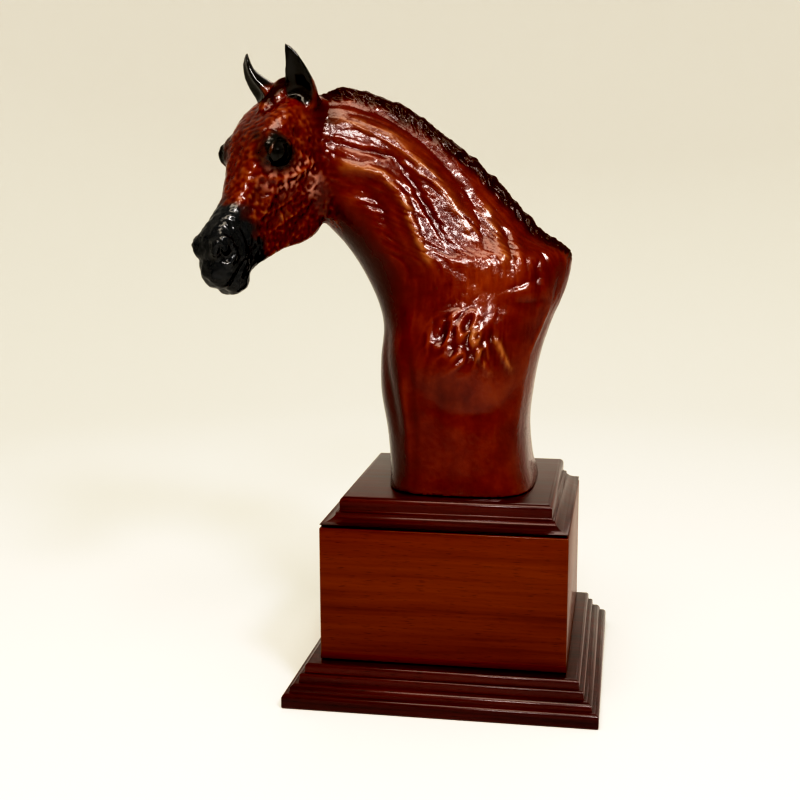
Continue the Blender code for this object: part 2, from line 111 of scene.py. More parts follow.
def wood_nodes(finish, stains, gloss, coat, coat_roughness):
    """Straight-grained wood under lacquer, with short dark pores. The stains go from pale to dark."""
    tree = finish.node_tree
    shader = tree.nodes["Principled BSDF"]
    link = tree.links.new
    place = tree.nodes.new("ShaderNodeUVMap")
    pale, middling, dark = stains

    def grain_noise(along, across, detail, roughness=0.5, distortion=0.0):
        """Noise drawn out along the grain, by how often it repeats in a metre along and across it."""
        stretch = tree.nodes.new("ShaderNodeMapping")
        stretch.inputs["Scale"].default_value = (along, across, 1)
        link(place.outputs["UV"], stretch.inputs["Vector"])
        lumps = tree.nodes.new("ShaderNodeTexNoise")
        lumps.inputs["Scale"].default_value = 1.0
        lumps.inputs["Detail"].default_value = detail
        lumps.inputs["Roughness"].default_value = roughness
        lumps.inputs["Distortion"].default_value = distortion
        link(stretch.outputs["Vector"], lumps.inputs["Vector"])
        return lumps.outputs["Fac"]

    def reach(source, lowest, highest, to_lowest=0.0, to_highest=1.0):
        """A number carried from one range to another."""
        node = tree.nodes.new("ShaderNodeMapRange")
        node.inputs["From Min"].default_value = lowest
        node.inputs["From Max"].default_value = highest
        node.inputs["To Min"].default_value = to_lowest
        node.inputs["To Max"].default_value = to_highest
        link(source, node.inputs["Value"])
        return node.outputs["Result"]

    bands = grain_noise(9, 260, 6.0, 0.62, 0.35)
    figure = grain_noise(5, 38, 3.0)
    pores = grain_noise(160, 2600, 1.0)
    streaks = tree.nodes.new("ShaderNodeMix")
    streaks.data_type = "FLOAT"
    streaks.inputs[0].default_value = 0.45
    link(bands, streaks.inputs[2])
    link(figure, streaks.inputs[3])
    tones = tree.nodes.new("ShaderNodeValToRGB")
    tones.color_ramp.elements[0].position = 0.36
    tones.color_ramp.elements[0].color = dark
    tones.color_ramp.elements[1].position = 0.66
    tones.color_ramp.elements[1].color = pale
    tones.color_ramp.elements.new(0.5).color = middling
    link(streaks.outputs[0], tones.inputs["Fac"])
    pored = tree.nodes.new("ShaderNodeMix")
    pored.data_type = "RGBA"
    pored.inputs[7].default_value = (dark[0] * 0.6, dark[1] * 0.6, dark[2] * 0.6, 1)
    link(reach(pores, 0.62, 0.78), pored.inputs[0])
    link(tones.outputs["Color"], pored.inputs[6])
    link(pored.outputs[2], shader.inputs["Base Color"])
    link(reach(bands, 0.0, 1.0, gloss, gloss + 0.16), shader.inputs["Roughness"])

    grain = tree.nodes.new("ShaderNodeBump")
    grain.inputs["Strength"].default_value = 0.25
    grain.inputs["Distance"].default_value = 0.0002
    link(streaks.outputs[0], grain.inputs["Height"])
    link(grain.outputs["Normal"], shader.inputs["Normal"])
    shader.inputs["Specular IOR Level"].default_value = 0.15
    shader.inputs["Coat Weight"].default_value = coat
    shader.inputs["Coat Roughness"].default_value = coat_roughness


dark_stains = ((0.082, 0.011, 0.008, 1), (0.046, 0.006, 0.006, 1), (0.018, 0.002, 0.003, 1))
dark_mahogany = bpy.data.materials.new("dark_mahogany_lacquer")
dark_mahogany.use_nodes = True
wood_nodes(dark_mahogany, dark_stains, gloss=0.26, coat=0.6, coat_roughness=0.14)
base_board.data.materials.append(dark_mahogany)
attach(base_board, "root")
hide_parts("base_board")


# The block: a plain square of mahogany with the grain running level round its four sides, its arrises
# rubbed down a little. It is stained a warmer, lighter red than the boards and lacquered.
block_low, block_high = (Vector(corner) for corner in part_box("plinth_block"))
block_arris = 0.0007
bpy.ops.object.select_all(action="DESELECT")
bpy.ops.mesh.primitive_cube_add(size=1, location=(block_low + block_high) / 2)
block = bpy.context.object
block.name = "plinth_block_sides"
block.data.name = block.name
block.scale = block_high - block_low
bpy.ops.object.transform_apply(location=True, scale=True)
arrises = block.modifiers.new("rubbed arrises", "BEVEL")
arrises.width = block_arris
arrises.segments = 3
bpy.ops.object.modifier_apply(modifier=arrises.name)
bpy.ops.object.mode_set(mode="EDIT")
bpy.ops.mesh.select_all(action="SELECT")
bpy.ops.uv.cube_project(cube_size=1.0)
bpy.ops.object.mode_set(mode="OBJECT")
bpy.ops.object.shade_smooth_by_angle(angle=math.radians(40))
red_stains = ((0.145, 0.031, 0.004, 1), (0.112, 0.020, 0.0025, 1), (0.074, 0.010, 0.0015, 1))
mahogany = bpy.data.materials.new("mahogany_lacquer")
mahogany.use_nodes = True
wood_nodes(mahogany, red_stains, gloss=0.36, coat=0.35, coat_roughness=0.12)
block.data.materials.append(mahogany)
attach(block, "root")
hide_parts("plinth_block")


# The cap board: half an inch of the same dark wood, its edge routed back in a cove and two fillets under a
# rounded nosing, so that the bust stands on a smaller flat than the block below. A quirk sets it off below.
cap_low, cap_high = (Vector(corner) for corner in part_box("cap_board"))
cap_rise = cap_high.z - cap_low.z
cap_nosing = 0.0026
cap_nosing_inset = 0.0080
# The edge as (inset, height), from the quirk over the lip and the cove to the upper fillet
cap_profile = [(0.0010, 0.0), (0.0009, 0.0008), (0.0, 0.0012), (0.0013, 0.0016), (0.0028, 0.0020)]
cap_profile += [(0.0045, 0.0028), (0.0058, 0.0038), (0.0064, 0.0047), (0.0064, 0.0056), (0.0074, 0.0059)]
cap_profile += [(cap_nosing_inset, 0.0065)]
cap_profile += quarter_round(cap_nosing_inset, cap_rise - cap_nosing, cap_nosing)
cap_board = routed_board("cap_board_routed", cap_low, cap_high, cap_profile)
cap_board.data.materials.append(dark_mahogany)
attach(cap_board, "root")
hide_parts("cap_board")


# The horse: the head and neck, one resin casting from a clay original, glazed a glossy bay with black
# points. It is built as the clay was: masses joined into one skin, then the muscles drawn into it.
bust_low, bust_high = (Vector(corner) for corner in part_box("horse_bust"))
bust_foot = bust_low.z
bust_height = 0.2070
head_length = 0.459 * bust_height
head_yaw = math.radians(62)
head_pitch = math.radians(47)
head_roll = math.radians(3)
poll = (-0.394, -0.082, 0.887)


def through(rows, count, closed=False):
    """Points on a Catmull-Rom curve through the rows, count of them for each span."""
    rows = np.asarray(rows, float)
    last = len(rows)
    if closed:
        padded = np.concatenate([rows[-1:], rows, rows[:2]])
    else:
        padded = np.concatenate([2 * rows[:1] - rows[1:2], rows, 2 * rows[-1:] - rows[-2:-1]])
        last -= 1
    found = []
    for span in range(last):
        a, b, c, d = padded[span : span + 4]
        for step in range(count):
            u = step / count
            lower_terms = 2 * b + (c - a) * u + (2 * a - 5 * b + 4 * c - d) * u**2
            found.append(0.5 * (lower_terms + (3 * b - a - 3 * c + d) * u**3))
    if not closed:
        found.append(rows[-1])
    return np.array(found)


# The neck from the foot up, in thousandths of the bust's height: (crest), (throat), half width; then how
# square its section is, and how much narrower the crest is than the throat
neck_sections = (
    ((186, 0, -46), (-150, 0, -46), 200, 3.6, 0.0),
    ((186, 0, 0), (-150, 0, 0), 200, 3.6, 0.0),
    ((174, 0, 48), (-151, 0, 43), 193, 3.2, 0.0),
    ((167, 0, 135), (-160, 0, 125), 186, 2.9, 0.0),
    ((176, 0, 221), (-177, 0, 212), 181, 2.6, 0.02),
    ((191, 0, 299), (-179, 0, 289), 176, 2.4, 0.05),
    ((215, 0, 376), (-174, 0, 357), 159, 2.2, 0.10),
    ((242, 0, 439), (-186, 0, 410), 139, 2.1, 0.15),
    ((258, 0, 502), (-210, -2, 463), 128, 2.0, 0.20),
    ((251, 0, 540), (-237, -5, 511), 119, 2.0, 0.25),
    ((186, 0, 574), (-263, -10, 548), 109, 2.0, 0.30),
    ((119, 0, 643), (-285, -14, 572), 101, 2.0, 0.35),
    ((27, 0, 735), (-301, -19, 588), 94, 2.0, 0.38),
    ((-66, 0, 806), (-318, -24, 608), 89, 2.0, 0.38),
    ((-135, -2, 850), (-334, -27, 630), 85, 2.0, 0.35),
    ((-203, -10, 879), (-352, -27, 663), 80, 2.0, 0.30),
    ((-261, -22, 891), (-367, -24, 714), 70, 2.0, 0.25),
    ((-319, -39, 881), (-382, -19, 753), 56, 2.0, 0.10),
)
# How finely the neck is laid out: (steps between rows, points around) for its skin, and steps for its paths
neck_grid = (8, 96)
neck_steps = 20


def in_bust(points):
    """Points given in thousandths of the bust's height from the middle of its foot, in the trophy's axes."""
    return np.asarray(points, float) * bust_height / 1000 + (0, 0, bust_foot)


def neck_rows(spans):
    """The neck's stations in metres: crest, throat, half width, squareness, narrowing and side direction."""
    rows = [[*crest, *throat, width, power, narrow] for crest, throat, width, power, narrow in neck_sections]
    rows = through(rows, spans)
    crest = in_bust(rows[:, 0:3])
    throat = in_bust(rows[:, 3:6])
    width = rows[:, 6:7] * bust_height / 1000
    side = np.cross(np.gradient((crest + throat) / 2, axis=0), throat - crest)
    side /= np.linalg.norm(side, axis=1, keepdims=True)
    return np.hstack([crest, throat, width, rows[:, 7:9], side])


neck_stations = neck_rows(neck_steps)


def neck_points(rows, down, across):
    """Points on the neck: down from crest (0) to throat (1), across to the near (1) or far (-1) side."""
    crest, throat, side = rows[..., 0:3], rows[..., 3:6], rows[..., 9:12]
    reach = 1 - np.abs(1 - 2 * down) ** rows[..., 7]
    width = rows[..., 6] * np.maximum(reach, 0) ** (1 / rows[..., 7]) * (1 - rows[..., 8] * (1 - 2 * down))
    return crest + down[..., None] * (throat - crest) + (across * width)[..., None] * side


def neck_rings(spans, around):
    """Rings of points round the neck, from the foot to inside the skull."""
    rows = neck_rows(spans)[:, None, :]
    turn = np.arange(around) * 2 * math.pi / around
    power = rows[..., 7]
    down = 0.5 - 0.5 * np.sign(np.cos(turn)) * np.abs(np.cos(turn)) ** (2 / power)
    across = np.broadcast_to(np.sign(np.round(np.sin(turn), 9)), down.shape)
    return neck_points(rows, down, across)


def neck_path(path, side):
    """A smooth path over the neck, through points as (row of the neck, share of the way to the throat)."""
    path = through(path, 8)
    return neck_points(neck_stations[np.round(path[:, 0] * neck_steps).astype(int)], path[:, 1], side)


def neck_spot(place, side):
    """One point on the neck, from its (row of the neck, share of the way to the throat)."""
    return neck_points(neck_stations[round(place[0] * neck_steps)], np.array(place[1]), side)


# The head, in hundredths of its length: along the face from the poll, the profile's top, then four pairs
# of (half width, height) down the side, and the middle of the underside
head_sections = (
    (-12, -13, (8, -15), (12, -21), (11, -28), (7, -33), -35),
    (-4, -4, (12, -5), (16, -16), (15.5, -27), (11, -38), -39),
    (6, 1.5, (13, 0.8), (17.5, -11), (17.5, -27), (13, -43), -43),
    (16, 4, (14, 3.2), (18, -9), (18, -29), (13.5, -48), -47),
    (26, 5.5, (13.5, 3.5), (18.5, -8), (17, -30), (12.5, -51), -49),
    (34, 5, (13, 3), (17.5, -8), (16, -30), (11.5, -53), -50),
    (42, 2.5, (10.5, 0.5), (15, -10), (14.5, -29), (11, -54), -50),
    (52, -1.5, (8.5, -3.5), (12.5, -12), (12.5, -27), (10, -50), -46),
    (62, -4.5, (7, -6.5), (10.5, -13.5), (11, -25), (9, -43), -39.5),
    (72, -5, (6.5, -7), (9.5, -13), (10.5, -24), (8.5, -38), -35.5),
    (80, -4.5, (6.5, -6), (9.5, -13), (10.5, -22), (8, -34), -33.5),
    (88, -6, (6.5, -8), (9.5, -14), (10.5, -22), (8, -32), -34),
    (94, -10.5, (6, -12), (8.5, -17), (9.5, -23), (7, -31), -33),
    (98, -16, (5, -17.5), (7.5, -20.5), (8, -25), (5, -29.5), -30),
    (100, -20.5, (3, -21), (4.5, -23), (4.5, -26), (3, -28), -28.5),
)


def head_matrix():
    """From head axes (along the face, up off it, to the near side) to the trophy's, in metres."""
    forward = Vector((-math.cos(head_yaw), -math.sin(head_yaw), 0))
    up = Vector((0, 0, 1))
    face = forward * math.cos(head_pitch) - up * math.sin(head_pitch)
    off = forward * math.sin(head_pitch) + up * math.cos(head_pitch)
    near = Vector((math.sin(head_yaw), -math.cos(head_yaw), 0))
    turned = Matrix.Rotation(head_roll, 3, face)
    columns = [turned @ face, turned @ off, turned @ near]
    m = Matrix([[columns[c][r] for c in range(3)] for r in range(3)]).to_4x4()
    m.translation = Vector(in_bust(Vector(poll) * 1000))
    return m


def in_head(points):
    """Points given in hundredths of the head's length, as (along, up, near side), in the trophy's axes."""
    m = np.array(head_matrix())
    return (np.asarray(points, float) * head_length / 100) @ m[:3, :3].T + m[:3, 3]


def head_path(path, side):
    """A smooth path over the head, through points in hundredths of its length, near (1) or far (-1) side."""
    return in_head(through(path, 8) * (1, 1, side))


def head_rings(spans, around):
    """Rings of points round the head, from inside the neck to the lips."""
    rows = []
    for s, top, a, b, c, d, bottom in head_sections:
        half = [(top, 0), (a[1], a[0]), (b[1], b[0]), (c[1], c[0]), (d[1], d[0]), (bottom, 0)]
        ring = half + [(t, -n) for t, n in reversed(half[1:-1])]
        rows.append([(s, t, n) for t, n in ring])
    rows = np.array(rows, float)
    stations = through(rows.reshape(len(rows), -1), spans).reshape(-1, rows.shape[1], 3)
    return np.array([in_head(through(ring, around, closed=True)) for ring in stations])


# Forms laid over the skull, in hundredths of the head's length: (middle), (radii), mirrored to both sides.
# In turn the brow, the cheek, the wing of the nostril, the upper lip and the chin.
skull_forms = (
    ((33.0, -3.5, 12.6), (10.5, 7.5, 6.4)),
    ((23.0, -31.0, 9.5), (15.5, 18.0, 9.8)),
    ((87.5, -11.0, 7.2), (6.5, 5.2, 4.4)),
    ((96.8, -22.0, 1.8), (5.0, 7.4, 4.9)),
    ((91.2, -32.2, 2.4), (7.6, 5.9, 6.6)),
)
eye_place = (35.8, -4.0, 15.4)
eye_radius = 4.8
eyeball = 0.0053


def eye_at(side, outwards=0.0):
    """The middle of one eye, or a point further outwards from it, in the trophy's axes."""
    return in_head([(eye_place[0], eye_place[1], (eye_place[2] + outwards) * side)])


# Up the ear from its root to its tip: the place of its middle, then half its breadth and half its depth
ear_sections = (
    ((2.5, -8.5, 10.5), 8.5, 8.5),
    ((-0.3, -3.0, 11.2), 8.6, 8.4),
    ((-1.6, 1.8, 12.6), 8.0, 7.4),
    ((-3.0, 6.5, 13.9), 6.8, 5.8),
    ((-4.6, 11.0, 14.6), 5.5, 4.4),
    ((-6.6, 15.2, 14.7), 4.1, 3.2),
    ((-8.6, 19.2, 13.9), 2.6, 2.2),
    ((-9.9, 22.0, 12.9), 1.2, 1.2),
    ((-10.4, 23.2, 12.4), 0.5, 0.5),
)
ear_cup = 1.1
ear_opening = (0.68, 0.70, 0.42)
far_ear_nod = (1.6, -2.2)
far_ear_bow = (2.4, 2.4)


def ear_rings(side, spans, around):
    """Rings up one ear, its front hollowed into a cup that opens forwards and outwards."""
    rows = through([[*middle, breadth, depth] for middle, breadth, depth in ear_sections], spans)
    rows[:, 2] *= side
    if side < 0:
        rise = np.arange(len(rows)) / len(rows)
        rows[:, 0:2] += np.outer(rise**2, far_ear_nod) + np.outer(np.sin(math.pi * rise), far_ear_bow)
    middle = rows[:, 0:3]
    along = np.gradient(middle, axis=0)
    angles = np.arange(around) * 2 * math.pi / around
    c, s = np.cos(angles), np.sin(angles)
    rings = []
    for i, row in enumerate(rows):
        run = along[i] / np.linalg.norm(along[i])
        opening = np.array(ear_opening) * (1, 1, side)
        opening -= run * (opening @ run)
        opening /= np.linalg.norm(opening)
        across = np.cross(run, opening)
        cup = ear_cup * min(1.0, i / (2.0 * spans)) * np.maximum(c, 0) ** 2.4
        rings.append(middle[i] + np.outer(row[4] * (c - cup), opening) + np.outer(row[3] * s, across))
    return in_head(np.array(rings))


# Muscles and hollows of the neck: radius and height in thousandths of the bust's height, then a path of
# (row of the neck, share of the way to the throat). A height above nothing is a ridge, below it a groove.
neck_strokes = (
    # The big masses: shoulder, front of the shoulder, withers and the two edges of the neck
    (60.0, 17.0, ((5.1, 0.64), (4.9, 0.48), (4.7, 0.34))),
    (43.5, 7.7, ((7.6, 0.20), (6.9, 0.17))),
    (24.0, 5.0, ((8.4, 0.06), (7.5, 0.10), (6.6, 0.08), (5.9, 0.07))),
    (17.0, 3.9, ((5.3, 0.06), (4.6, 0.06), (3.8, 0.06), (2.8, 0.06))),
    (19.0, 4.3, ((5.8, 0.88), (4.8, 0.82), (3.8, 0.79), (2.9, 0.80), (1.9, 0.81))),
    (18.4, -4.8, ((6.0, 0.95), (5.0, 0.93), (4.0, 0.88), (3.1, 0.86))),
    (24.0, -5.0, ((4.3, 0.68), (3.8, 0.54), (3.6, 0.35), (3.7, 0.18), (4.3, 0.06))),
    # The broad muscle below the crest, and the crease and groove along its lower edge
    (
        17.0,
        7.6,
        ((15.6, 0.30), (14.7, 0.25), (13.8, 0.22), (13.1, 0.215), (12.3, 0.24), (11.5, 0.26), (10.5, 0.29)),
    ),
    (8.0, -4.4, ((15.2, 0.49), (14.4, 0.44), (13.8, 0.39), (13.3, 0.34), (13.0, 0.31), (12.6, 0.33))),
    (12.0, -5.4, ((13.2, 0.34), (12.6, 0.34), (12.1, 0.36), (11.5, 0.40), (10.6, 0.44), (9.5, 0.47))),
    (6.0, 1.8, ((12.5, 0.365), (12.0, 0.40), (11.3, 0.44), (10.5, 0.46), (9.6, 0.49))),
    (16.0, -4.6, ((15.5, 0.13), (14.6, 0.10), (13.8, 0.09), (12.9, 0.10), (12.1, 0.13), (11.2, 0.16))),
    # The long muscle in the middle of the neck, and the jugular groove below it
    (
        13.0,
        7.0,
        ((14.3, 0.60), (13.6, 0.54), (13.1, 0.48), (12.6, 0.455), (11.8, 0.48), (11.1, 0.53), (10.2, 0.58)),
    ),
    (12.0, 4.4, ((11.1, 0.53), (10.2, 0.57), (9.3, 0.61), (8.3, 0.63))),
    (
        19.0,
        -6.6,
        ((13.6, 0.71), (12.9, 0.63), (12.4, 0.61), (11.8, 0.62), (11.1, 0.66), (10.0, 0.70), (8.4, 0.73)),
    ),
    # The muscles that run down from the mane to the shoulder
    (12.0, 3.2, ((11.5, 0.11), (10.9, 0.14), (10.3, 0.18), (9.4, 0.26), (8.6, 0.32))),
    (8.0, -2.2, ((11.3, 0.17), (10.5, 0.23), (9.5, 0.32))),
    (11.0, 3.2, ((10.6, 0.09), (9.8, 0.15), (8.8, 0.23), (7.8, 0.24))),
    (9.0, -2.6, ((9.9, 0.17), (9.0, 0.25), (8.0, 0.28))),
    (9.0, -3.0, ((8.8, 0.13), (8.2, 0.16), (7.5, 0.15), (7.0, 0.12))),
    (16.0, -1.8, ((8.7, 0.52), (7.7, 0.43), (7.2, 0.32))),
    # Tool marks across the point of the shoulder
    (7.5, 4.4, ((6.9, 0.50), (6.6, 0.54), (6.3, 0.60))),
    (8.5, 4.6, ((6.3, 0.54), (5.9, 0.49), (5.5, 0.47), (5.0, 0.49))),
    (7.0, 4.0, ((6.2, 0.67), (5.8, 0.665), (5.3, 0.65))),
    (9.0, 5.6, ((5.9, 0.42), (5.5, 0.38), (5.2, 0.34), (4.8, 0.28))),
    (8.0, 5.0, ((5.6, 0.26), (5.2, 0.21), (4.8, 0.15))),
    (7.0, 3.6, ((6.6, 0.05), (5.9, 0.05), (5.2, 0.06))),
    (6.0, -3.4, ((6.5, 0.58), (5.9, 0.58), (5.3, 0.57))),
    (6.0, -3.4, ((6.5, 0.45), (5.9, 0.44), (5.2, 0.42))),
    (7.0, -3.0, ((6.1, 0.32), (5.6, 0.30), (5.0, 0.24))),
    # Long soft flutes down the neck
    (11.0, -2.6, ((5.4, 0.77), (4.4, 0.74), (3.2, 0.74), (1.8, 0.76))),
    (14.0, -1.6, ((4.4, 0.56), (3.4, 0.55), (1.6, 0.56))),
    (14.0, 1.7, ((4.2, 0.43), (3.2, 0.43), (1.6, 0.44))),
    (13.0, -1.6, ((4.2, 0.30), (3.2, 0.31), (1.6, 0.33))),
    (14.0, 1.6, ((4.3, 0.18), (3.3, 0.19), (1.6, 0.20))),
)

# Bones, folds and veins of the head, laid out the same way, with points in hundredths of the head's length
head_strokes = (
    (11.0, 5.0, ((44, -13, 15), (52, -17, 13), (64, -19, 11))),
    (10.0, 4.4, ((44, -15, 15.5), (37, -18.5, 17), (30, -21.5, 18), (24, -23, 18.5))),
    (16.0, -5.3, ((48, -9, 14), (56, -11, 12), (66, -12, 10.5))),
    (16.0, -5.6, ((19, -4, 17), (22, -9, 18))),
    (13.0, -1.6, ((9, -20, 17.5), (7, -32, 17), (12, -45, 15), (22, -53, 12))),
    (16.0, 1.2, ((26, 4.5, 7), (45, 1, 8), (62, -6, 6.5), (78, -6, 6))),
    (9.0, 5.0, ((47, -9.5, 12.5), (43.5, -14, 15), (38.5, -16.5, 17))),
    (9.5, 5.0, ((37, -18, 17.4), (31.5, -21, 18.4), (26, -22, 19))),
    (6.0, 3.0, ((27, -13, 18.5), (26, -22, 18), (30, -30, 17.6))),
    (4.0, 2.0, ((38, -26, 16), (45, -26.5, 14), (53, -24, 13), (60, -20, 12), (67, -18, 11))),
    (4.0, 1.8, ((40, -36, 14.5), (50, -33.5, 12.8), (58, -30.5, 11.6), (66, -28, 11))),
    (3.4, 1.6, ((52, -24, 13), (55, -31, 12), (60, -37, 10.5))),
    (12.0, -4.0, ((34, -38, 15), (44, -40, 13), (54, -38, 11.5))),
    (9.0, -12.0, ((87.5, -9.5, 10.8), (91, -9.5, 10.6), (93, -12.5, 10.6), (91.5, -16, 11))),
    (4.6, 5.4, ((84.5, -7.5, 10), (83.5, -12, 11), (86, -17.5, 11.4), (91, -18.5, 11), (95, -15, 9.5))),
    (5.0, -6.4, ((100.5, -30, 0), (99, -29, 5), (95.5, -27.5, 9), (91, -26, 10.5), (87, -25, 11))),
    (5.0, 3.4, ((85.5, -20, 11), (83.5, -24.5, 11), (85.5, -30, 10.5))),
    (4.2, 2.6, ((76, -10, 9.5), (78, -17.5, 10.6), (83, -22.5, 11))),
    (5.0, -3.2, ((73.5, -10, 9), (75.5, -18, 10.6), (80.5, -25, 10.6))),
    (9.0, -4.4, ((94, -13, 0), (93.5, -14, 4), (92.5, -16, 8))),
)

lid_radius = 4.6
lid_height = 5.6
lids = (
    ((42.8, -7.2), (40.6, -1.6), (36.4, 1.0), (31.8, -0.2), (28.6, -5.8)),
    ((42.8, -7.2), (40.2, -9.4), (35.8, -9.9), (31.4, -8.4), (28.6, -5.8)),
)

# The mane's ridge, from one row of the neck to another, and the tuft between the ears as lumps of clay, each
# with its (middle) and (radii) in hundredths of the head's length
mane_height = 0.0116 * bust_height
mane_width = 0.0203 * bust_height
mane_ends = 0.04 * bust_height
lock_pitch = 0.03 * bust_height
mane_span = (9.2, 17.2)
forelock = (((-3, 0.5, 0), (7, 5, 7)), ((4, 3.5, 1.5), (7, 3.4, 5)), ((11, 4.6, -0.5), (6.5, 2.6, 3.4)))


def mane_rings(around):
    """A ridge of short locks along the crest, from the withers to behind the ears."""
    first, last = (int(round(station * neck_steps)) for station in mane_span)
    rows = neck_stations[first : last + 1]
    run = np.concatenate([[0], np.cumsum(np.linalg.norm(np.diff(rows[:, 0:3], axis=0), axis=1))])
    turn = np.arange(around) * 2 * math.pi / around
    chance = np.random.default_rng(11)
    tips = np.cumsum(chance.uniform(0.5, 1.5, 60)) * lock_pitch
    tall = chance.uniform(0.72, 1.3, 60)
    rings = []
    for i, row in enumerate(rows):
        out = row[0:3] - row[3:6]
        out /= np.linalg.norm(out)
        which = int(np.searchsorted(tips, run[i]))
        start = tips[which - 1] if which else 0.0
        lock = (run[i] - start) / (tips[which] - start)
        ends = min(1.0, 0.3 + 0.7 * min(run[i], run[-1] - run[i]) / mane_ends)
        height = mane_height * ends * (0.75 + 0.5 * lock) * tall[which]
        width = mane_width * ends * (0.9 + 0.25 * lock)
        rise = np.outer(height * np.cos(turn), out)
        rings.append(row[0:3] + rise + np.outer(width * np.sin(turn), row[9:12]))
    return np.array(rings)


def smoothed(mesh, rounds):
    """A mesh's points after rounds of moving each halfway to the mean of its neighbours."""
    points = np.empty(len(mesh.vertices) * 3)
    mesh.vertices.foreach_get("co", points)
    points = points.reshape(-1, 3)
    ends = np.empty(len(mesh.edges) * 2, dtype=np.int64)
    mesh.edges.foreach_get("vertices", ends)
    a, b = ends[0::2], ends[1::2]
    count = np.bincount(ends, minlength=len(points))[:, None]
    for _ in range(rounds):
        total = np.zeros_like(points)
        for axis in range(3):
            total[:, axis] += np.bincount(a, points[b, axis], len(points))
            total[:, axis] += np.bincount(b, points[a, axis], len(points))
        points = 0.5 * points + 0.5 * total / count
    return points


def strokes():
    """Every stroke of the carving, in metres: radius, height and path, for both sides."""
    made = []
    for side in (1, -1):
        made += [(radius, height, neck_path(path, side)) for radius, height, path in neck_strokes]
        made += [(radius, height, head_path(path, side)) for radius, height, path in head_strokes]
        for lid in lids:
            rim = [(*corner, eye_place[2] + 2.5) for corner in lid]
            made.append((lid_radius, lid_height, head_path(rim, side)))
    unit = bust_height / 1000
    return [(radius * unit, height * unit, path) for radius, height, path in made]


def carve(points, normals):
    """Moves the points along their normals where strokes of the carving pass."""
    moved = np.zeros(len(points))
    for radius, height, path in strokes():
        margin = 4 * radius + 0.004
        near = ((points > path.min(axis=0) - margin) & (points < path.max(axis=0) + margin)).all(axis=1)
        near = np.nonzero(near)[0]
        if len(near) == 0:
            continue
        # The path is laid on the skin, evened out, and given three more points on each of its steps
        path = np.array([points[near[np.argmin(((points[near] - p) ** 2).sum(axis=1))]] for p in path])
        for _ in range(3):
            path[1:-1] = 0.5 * path[1:-1] + 0.25 * (path[:-2] + path[2:])
        steps = np.arange(4 * len(path) - 3) / 4
        path = np.stack([np.interp(steps, np.arange(len(path)), line) for line in path.T], axis=1)
        gap = ((points[near][:, None, :] - path[None, :, :]) ** 2).sum(axis=2)
        taper = np.sin(math.pi * (0.12 + 0.76 * gap.argmin(axis=1) / (len(path) - 1)))
        moved[near] += height * taper * np.exp(-gap.min(axis=1) / radius**2)
    return points + moved[:, None] * normals


def closed_skin(shape, rings):
    """Adds a closed body through rings of points to a mesh being built."""
    stations, around, _ = rings.shape
    grid = [[shape.verts.new(point) for point in ring] for ring in rings]
    made = []
    for i in range(stations - 1):
        for j in range(around):
            k = (j + 1) % around
            made.append(shape.faces.new((grid[i][j], grid[i][k], grid[i + 1][k], grid[i + 1][j])))
    for ring in (grid[0], grid[-1]):
        middle = shape.verts.new(sum((v.co for v in ring), Vector()) / around)
        for j in range(around):
            made.append(shape.faces.new((middle, ring[j], ring[(j + 1) % around])))
    bmesh.ops.recalc_face_normals(shape, faces=made)


def lump(shape, middle, radii):
    """Adds an egg-shaped lump of clay on the head, in hundredths of its length, to a mesh being built."""
    rise = np.linspace(0.06, math.pi - 0.06, 24)[:, None]
    turn = np.arange(32) * 2 * math.pi / 32
    reach = np.sin(rise)
    ball = np.stack([np.cos(rise) + 0 * turn, reach * np.cos(turn), reach * np.sin(turn)], axis=2)
    closed_skin(shape, in_head(np.array(middle) + ball * radii))


skin_voxel = 0.00066
skin_triangles = 190000
evening_rounds = 20
wiping_rounds = 160
# The seam behind the jaw, in hundredths of the head's length, and how far the wet finger reached
jaw_seam = ((-3, -12, 16), (7, -19, 19), (19, -27.5, 20.5), (29, -37.5, 20), (35.5, -46.5, 14.5))
jaw_seam_reach = 0.0075

masses = bmesh.new()
closed_skin(masses, neck_rings(*neck_grid))
closed_skin(masses, head_rings(8, 8))
closed_skin(masses, mane_rings(16))
for middle, radii in forelock:
    lump(masses, middle, radii)
for side in (1, -1):
    for middle, radii in skull_forms:
        lump(masses, (middle[0], middle[1], middle[2] * side), radii)
    lump(masses, (eye_place[0], eye_place[1], eye_place[2] * side), (eye_radius,) * 3)
    closed_skin(masses, ear_rings(side, 8, 36))
horse_mesh = bpy.data.meshes.new("horse_head_and_neck")
masses.to_mesh(horse_mesh)
masses.free()
horse = bpy.data.objects.new("horse_head_and_neck", horse_mesh)
bpy.context.scene.collection.objects.link(horse)
bpy.ops.object.select_all(action="DESELECT")
bpy.context.view_layer.objects.active = horse
horse.select_set(True)
fused = horse.modifiers.new("one skin", "REMESH")
fused.mode = "VOXEL"
fused.voxel_size = skin_voxel
bpy.ops.object.modifier_apply(modifier=fused.name)


def mesh_points(mesh, what="co"):
    """A mesh's points, or their normals, as an array."""
    found = np.empty(len(mesh.vertices) * 3)
    mesh.vertices.foreach_get(what, found)
    return found.reshape(-1, 3)


def move_points(mesh, points):
    """Moves a mesh's points."""
    mesh.vertices.foreach_set("co", points.ravel())
    mesh.update()


def distance_to(points, path):
    """How far each point is from the nearest of a path's points."""
    nearest = np.full(len(points), 1.0)
    for place in path:
        nearest = np.minimum(nearest, ((points - place) ** 2).sum(axis=1))
    return np.sqrt(nearest)


def closeness(points, path, reach):
    """1 on a path, fading away over a reach in metres."""
    return np.exp(-((distance_to(points, path) / reach) ** 2))


